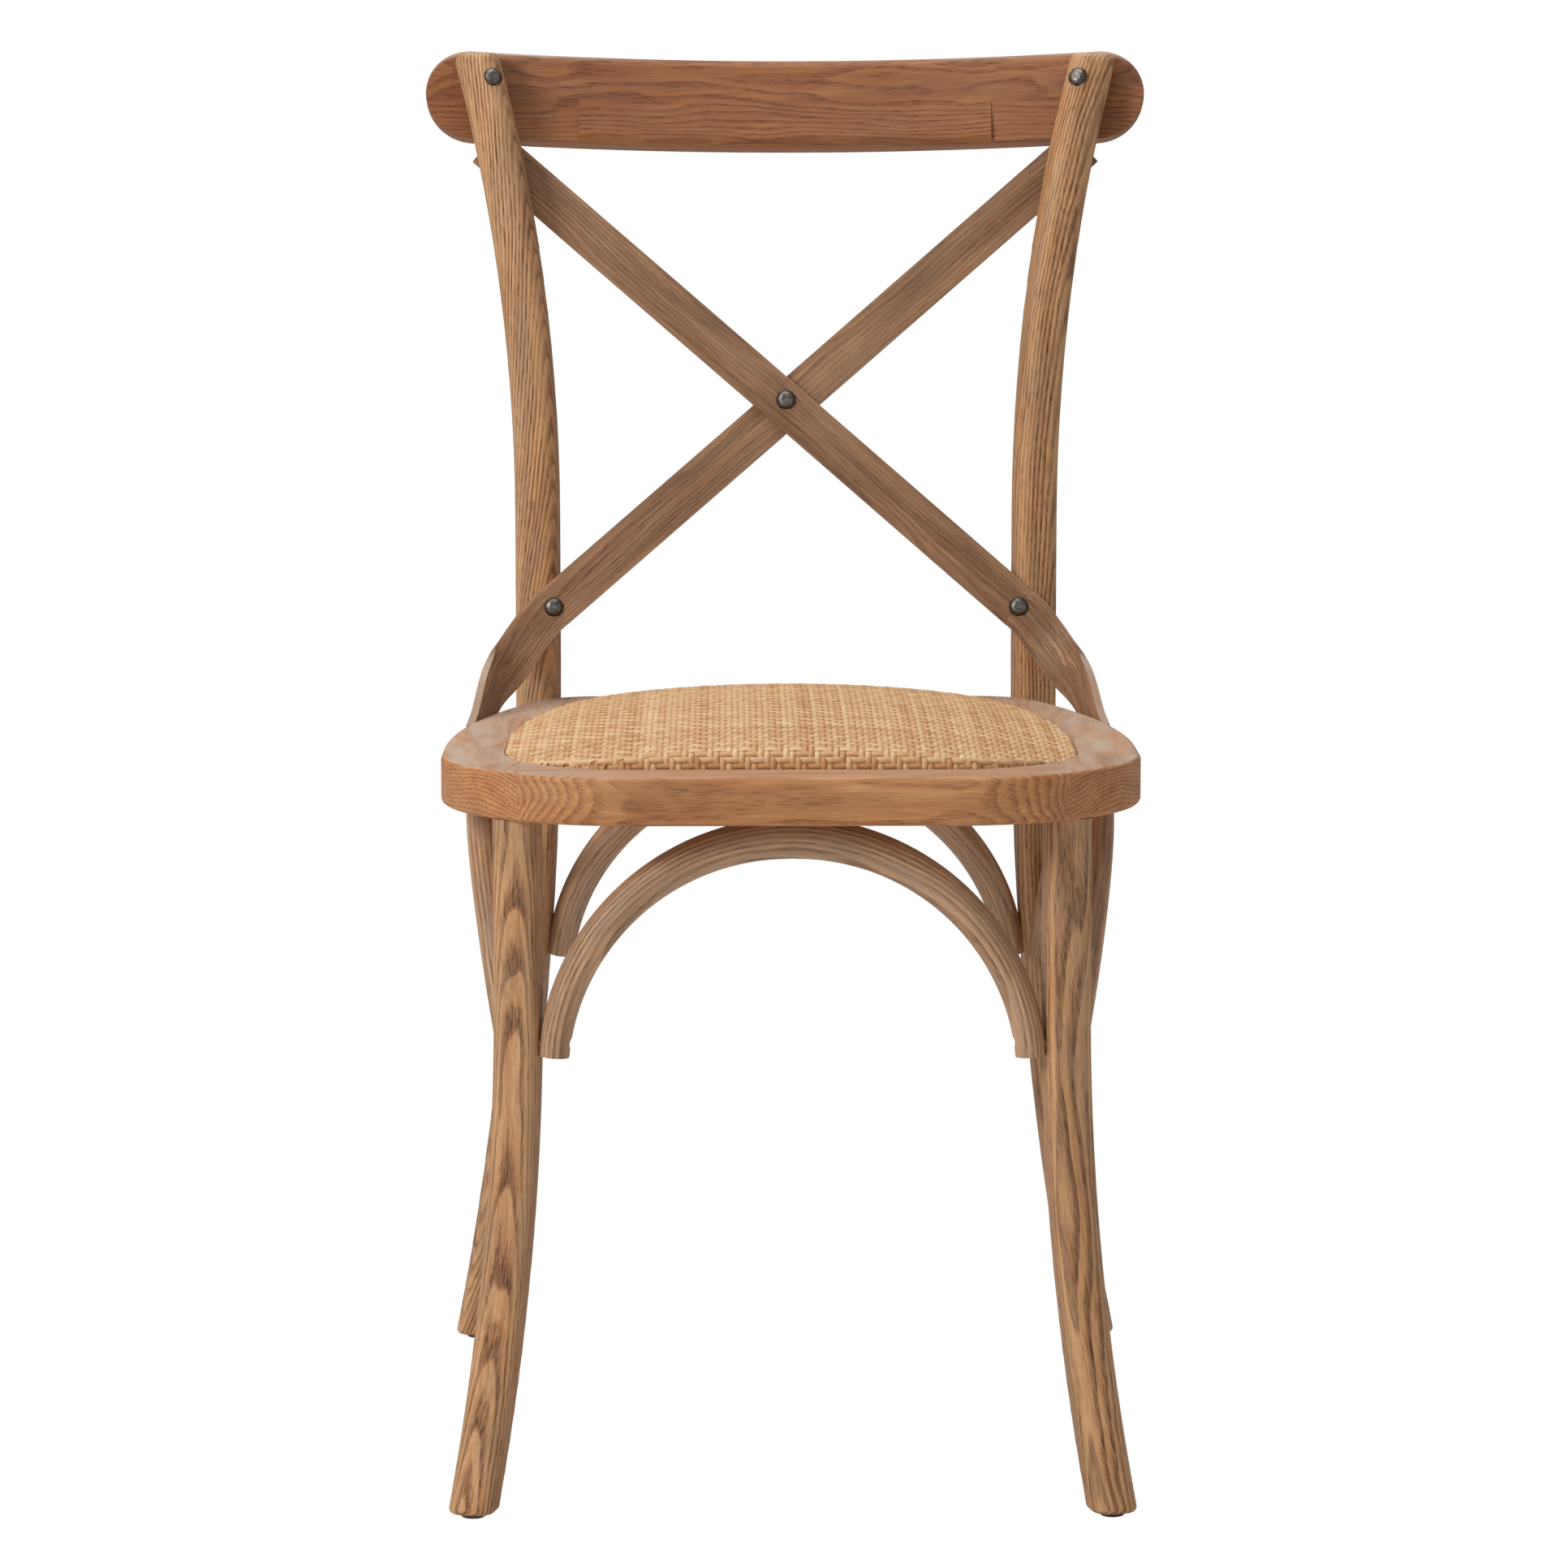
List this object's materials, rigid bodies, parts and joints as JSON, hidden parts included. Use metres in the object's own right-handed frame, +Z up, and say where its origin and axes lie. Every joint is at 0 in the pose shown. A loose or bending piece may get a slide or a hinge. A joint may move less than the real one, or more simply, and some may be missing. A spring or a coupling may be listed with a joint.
{
  "type": "dining chair",
  "caption": "Cross back dining chair in weathered oak with bent legs and posts, bowed crest rail, crossed straps, round braces and a woven cane seat.",
  "frame": {"origin": "on the floor under the middle of the chair's box", "axes": "+Z up, -Y the way the sitter faces, +X to the right as seen from the front"},
  "size_m": [0.487, 0.5402, 0.8898],
  "materials": {
    "oak_seat": "weathered, brushed open grain, matt",
    "oak_legs": "weathered, brushed open grain, matt",
    "oak_back": "weathered, satin",
    "oak_straps": "weathered, satin",
    "oak_braces": "weathered, satin",
    "rattan": "woven flat cane, satin",
    "foam": "open cell foam",
    "plywood": "plain, uncoated",
    "pewter": "antique pewter, hammered",
    "zinc": "zinc plated",
    "beech": "plain, uncoated",
    "nylon": "translucent brown"
  },
  "bodies": {
    "root": {"seat_front_rail": "oak_seat", "seat_rear_rail": "oak_seat", "seat_left_rail": "oak_seat", "seat_right_rail": "oak_seat", "rail_dowels": "beech", "seat_board": "plywood", "seat_foam": "foam", "woven_seat": "rattan", "left_front_leg": "oak_legs", "right_front_leg": "oak_legs", "left_rear_post": "oak_legs", "right_rear_post": "oak_legs", "crest_rail": "oak_back", "cross_strap_front": "oak_straps", "cross_strap_rear": "oak_straps", "front_arch": "oak_braces", "rear_arch": "oak_braces", "left_side_arch": "oak_braces", "right_side_arch": "oak_braces", "crest_rivets": "pewter", "cross_rivet": "pewter", "strap_post_rivets": "pewter", "strap_top_screws": "zinc", "strap_end_screws": "zinc", "post_bolts": "zinc", "barrel_nuts": "zinc", "arch_foot_screws": "zinc", "arch_crown_screws": "zinc", "board_screws": "zinc", "leg_glides": "nylon"}
  },
  "joints": []
}
